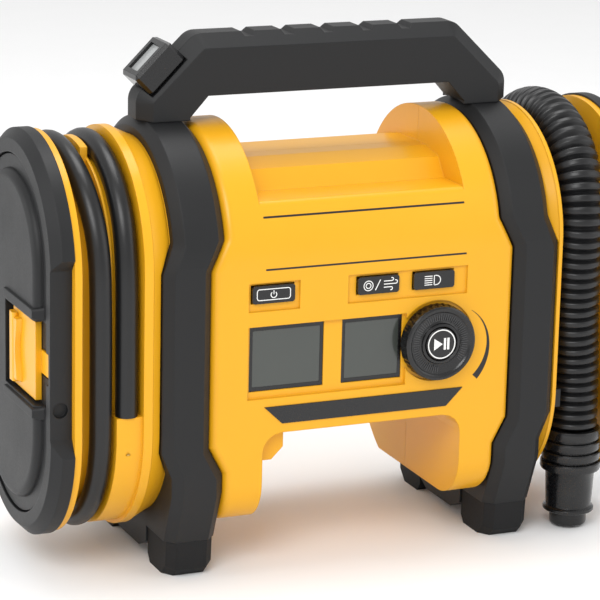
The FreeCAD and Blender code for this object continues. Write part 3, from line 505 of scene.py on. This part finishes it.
def hoop_edge(edge, middle):
    """A hoop's outer long edges."""
    if along_x(edge) or not sharp(edge, 60.0) or middle.z < 19.0:
        return False
    foot_top, leg_top, foot_front, radius = 18.0, 42.0, 53.0, 62.5
    if middle.z < leg_top:
        lean = (middle.z - foot_top) / (leg_top - foot_top)
        return abs(middle.y) > foot_front + lean * (radius - foot_front) - 0.6
    return abs(math.hypot(middle.y, max(middle.z - HIGH_AXIS, 0.0)) - radius) < 0.6


for side in ("left", "right"):
    moulded(side + "_hoop", hoop_edge, 4.4, CHARCOAL)


# ---- panel ---------------------------------------------------------------------------------------------
def printed(name, marks, body, material):
    """Flat print, a few hundredths of a millimetre proud of the surface under it."""
    corners, faces = join(*marks)
    return new_piece(name, mesh_of(name, corners, faces), material, body=body)


def ring_mark(u, v, radius, width, place, steps=48):
    """A thin printed ring."""
    inner = circle(u, v, radius - width / 2, steps=steps)
    outer = circle(u, v, radius + width / 2, steps=steps)
    return band(inner, outer, place, PRINT)


def make_power_symbol():
    """The power key's outline and its symbol."""
    key = on_front(KEY_FACE)
    inner = round_box(-56.3, -39.9, 136.0, 140.8, 1.0)
    outer = round_box(-56.7, -39.5, 135.6, 141.2, 1.4)
    arc = circle(-48.1, 138.2, 1.45, 130.0, 280.0, 20)
    stem = [(-48.3, 138.4), (-47.9, 138.4), (-47.9, 140.2), (-48.3, 140.2)]
    marks = [band(inner, outer, key, PRINT), stroke(arc, 0.42, key, PRINT), slab(stem, key, PRINT)]
    printed("power_symbol", marks, "power_button_body", WHITE)


def make_mode_symbol():
    """The mode key's tyre, slash and wind."""
    key = on_front(KEY_FACE)
    marks = [ring_mark(0.4, 138.3, 2.35, 0.4, key), ring_mark(0.4, 138.3, 1.25, 0.4, key),
             stroke([(4.0, 135.9), (6.6, 140.9)], 0.45, key, PRINT)]
    for z, reach, curl in ((140.0, 12.6, 0.75), (138.5, 14.6, 0.85), (137.0, 12.2, -0.75)):
        turn = 1 if curl > 0 else -1
        hook = [(reach + abs(curl) * math.sin(math.radians(a)),
                 z + curl - turn * abs(curl) * math.cos(math.radians(a))) for a in range(0, 211, 30)]
        marks.append(stroke([(8.4, z), (reach - 1.0, z)] + hook, 0.42, key, PRINT))
    printed("mode_symbol", marks, "mode_button_body", WHITE)


def make_light_symbol():
    """The light key's lamp and its five rays."""
    key = on_front(KEY_FACE)
    lamp = circle(35.9, 138.3, 2.3, -90.0, 180.0, 20)
    outline = [(34.9, 136.0)] + lamp + [(34.9, 140.6), (34.9, 136.0)]
    marks = [stroke(outline, 0.42, key, PRINT)]
    for step in range(5):
        z = 136.2 + 1.05 * step
        marks.append(slab([(29.8, z - 0.2), (33.9, z - 0.2), (33.9, z + 0.2), (29.8, z + 0.2)], key, PRINT))
    printed("light_symbol", marks, "light_button_body", WHITE)


def make_start_symbol():
    """The ring and the play and pause marks on the start button."""
    cap = on_front(-66.52)
    u, v = KNOB
    marks = [ring_mark(u, v, 7.0, 0.55, cap, 64),
             slab([(u - 4.0, v - 2.9), (u + 0.5, v), (u - 4.0, v + 2.9)], cap, PRINT)]
    for left in (u + 1.1, u + 2.9):
        marks.append(slab([(left, v - 2.9), (left + 1.15, v - 2.9), (left + 1.15, v + 2.9), (left, v + 2.9)],
                          cap, PRINT))
    printed("start_symbol", marks, "start_button_body", WHITE)


def make_knob():
    """The pressure knob: a gripped rim, a dished ring with radial marks and the start button's bore."""
    def wave(index, angle):
        if 4 <= index <= 6:
            return -0.5 if math.cos(angle * 36) > 0.35 else 0.0
        return 0.0
    profile = [(8.35, 61.5), (8.35, 58.9), (17.6, 58.7), (18.2, 59.0), (18.6, 59.6), (18.6, 62.0),
               (18.6, 64.6), (18.2, 65.7), (17.4, 66.2), (16.4, 66.2), (15.8, 65.9), (15.2, 65.2),
               (11.0, 64.8), (10.2, 65.2), (9.8, 66.0), (9.3, 66.2), (8.7, 66.2), (8.35, 65.8), (8.35, 61.5)]
    corners, faces = lathe(profile, (KNOB[0], 0.0, KNOB[1]), (0, -1, 0), 216, wave)
    mesh = mesh_of("pressure_knob_wheel", corners, faces, smooth=32)
    new_piece("pressure_knob_wheel", mesh, GLOSS, body="pressure_knob_body",
              replaces=("pressure_knob",))
    face = on_front(-64.95)
    marks = []
    for step in range(72):
        if not 50 <= (step * 5 - 270) % 360 <= 360:
            continue
        angle = math.radians(step * 5)
        along = (math.cos(angle), math.sin(angle))
        across = (-along[1] * 0.16, along[0] * 0.16)
        inner, outer = (11.6, 14.3) if step % 3 else (11.2, 14.9)
        marks.append(slab([(KNOB[0] + along[0] * a + across[0] * b, KNOB[1] + along[1] * a + across[1] * b)
                           for a, b in ((inner, -1), (outer, -1), (outer, 1), (inner, 1))], face, 0.35))
    printed("knob_marks", marks, "pressure_knob_body", GREY)


def make_panel_print():
    """The pressure arc, the two rules and the borders of the displays."""
    arc_outer = []
    arc_inner = []
    for step in range(25):
        t = step / 24.0
        angle = math.radians(36.0 - 79.0 * t)
        outer = 23.2 + 14.66 * t - 6.56 * t * t
        inner = 23.0 + 13.13 * t - 8.23 * t * t
        arc_outer.append((KNOB[0] + outer * math.cos(angle), KNOB[1] + outer * math.sin(angle)))
        arc_inner.append((KNOB[0] + inner * math.cos(angle), KNOB[1] + inner * math.sin(angle)))
    panel = on_front(-PANEL - 0.02)
    marks = [band(arc_inner, arc_outer, panel, 0.05, closed=False)]
    top = on_round(PANEL + 0.02)
    for z in (149.6, 173.6):
        marks.append(slab([(-52.0, z), (52.0, z), (52.0, z + 0.9), (-52.0, z + 0.9)], top, 0.05))
    printed("panel_print", marks, ROOT, INK)
    borders = []
    glass = on_front(-57.62)
    for u0, u1 in ((-58.9, -21.1), (-11.5, 19.7)):
        outer = round_box(u0, u1, 90.95, 122.25, 0.6)
        inner = round_box(u0 + 1.7, u1 - 1.7, 92.9, 120.3, 0.5)
        borders.append(band(inner, outer, glass, 0.08))
    printed("display_borders", borders, ROOT, GLOSS)


def on_end(level):
    """Turns (y, z, depth) into a point on the left end; depth counts outwards, to -X, from the level."""
    return lambda u, v, d: (level - d, u, v)


def frustum(low, high, place, d0, d1):
    """A solid between a wide outline at depth d0 and a narrower one at d1."""
    count = len(low)
    corners = [place(u, v, d0) for u, v in low] + [place(u, v, d1) for u, v in high]
    faces = [tuple(range(count)), tuple(reversed(range(count, 2 * count)))]
    faces += [((i + 1) % count, i, count + i, count + (i + 1) % count) for i in range(count)]
    return corners, faces


def make_door_lips():
    """The raised lips over and under the latch."""
    end = on_end(-154.2)
    lips = []
    for z0, z1 in ((129.6, 136.6), (82.0, 88.9)):
        low = round_box(-43.5, 4.5, z0, z1, 1.6)
        high = round_box(-41.0, 2.6, z0 + 1.3, z1 - 1.3, 1.0)
        lips.append(frustum(low, high, end, 0.0, 5.6))
    corners, faces = join(*lips)
    mesh = mesh_of("door_lips", corners, faces, smooth=40)
    new_piece("door_lips", mesh, CHARCOAL, body="accessory_door_body")


def make_latch_grip():
    """The latch's finger grip, with a wavy inner edge."""
    end = on_end(-156.2)
    edge = []
    for step in range(25):
        z = 93.5 + 31.0 * step / 24.0
        edge.append((-14.6 + 1.5 * math.cos(2 * math.pi * (z - 109.0) / 31.0), z))
    outline = [(-9.9, 93.5)] + edge + [(-9.9, 124.5)]
    centre_y = -11.5
    top = [(centre_y + (u - centre_y) * 0.72, 109.0 + (v - 109.0) * 0.95) for u, v in outline]
    corners, faces = frustum(outline, top, end, 0.0, 2.7)
    mesh = mesh_of("latch_grip", corners, faces, smooth=40)
    new_piece("latch_grip", mesh, YELLOW, body="door_latch_body")


make_door_lips()
make_latch_grip()
make_power_symbol()
make_mode_symbol()
make_light_symbol()
make_start_symbol()
make_knob()
make_panel_print()


# ---- floor and lights ----------------------------------------------------------------------------------
def make_stage():
    """A plain pale floor."""
    reach = 6000
    corners = [(-reach, -reach, 0), (reach, -reach, 0), (reach, reach, 0), (-reach, reach, 0)]
    floor = bpy.data.objects.new("floor", mesh_of("floor", corners, [(0, 1, 2, 3)]))
    bpy.context.scene.collection.objects.link(floor)
    floor.data.materials.append(surface("pale_floor", (0.93, 0.93, 0.93), 0.7, grain=300.0, relief=0.00001,
                                        vary=0.01, edge=0.0))


def make_light(name, place, target, size, power):
    """A soft square lamp aimed at a point."""
    data = bpy.data.lights.new(name, "AREA")
    data.shape = "SQUARE"
    data.size = size
    data.energy = power
    lamp = bpy.data.objects.new(name, data)
    bpy.context.scene.collection.objects.link(lamp)
    lamp.location = place
    lamp.rotation_euler = (Vector(target) - Vector(place)).to_track_quat("-Z", "Y").to_euler()


def make_lights():
    """Soft studio light: a broad key from the left, a fill from the right and a strip over the back."""
    make_light("key", (-0.9, -1.2, 1.3), (0, 0, 0.12), 0.9, 17.0)
    make_light("fill", (1.4, -1.0, 0.7), (0, 0, 0.1), 1.2, 5.0)
    make_light("top", (0.1, 0.2, 1.5), (0, 0, 0.1), 0.8, 9.0)
    make_light("side", (-1.3, 0.3, 0.5), (-0.1, 0, 0.12), 0.6, 4.0)
    world = bpy.data.worlds.new("studio")
    world.use_nodes = True
    world.node_tree.nodes["Background"].inputs["Color"].default_value = (1.0, 1.0, 1.0, 1.0)
    world.node_tree.nodes["Background"].inputs["Strength"].default_value = 0.8
    bpy.context.scene.world = world
    bpy.context.scene.view_settings.view_transform = "Standard"


make_stage()
make_lights()
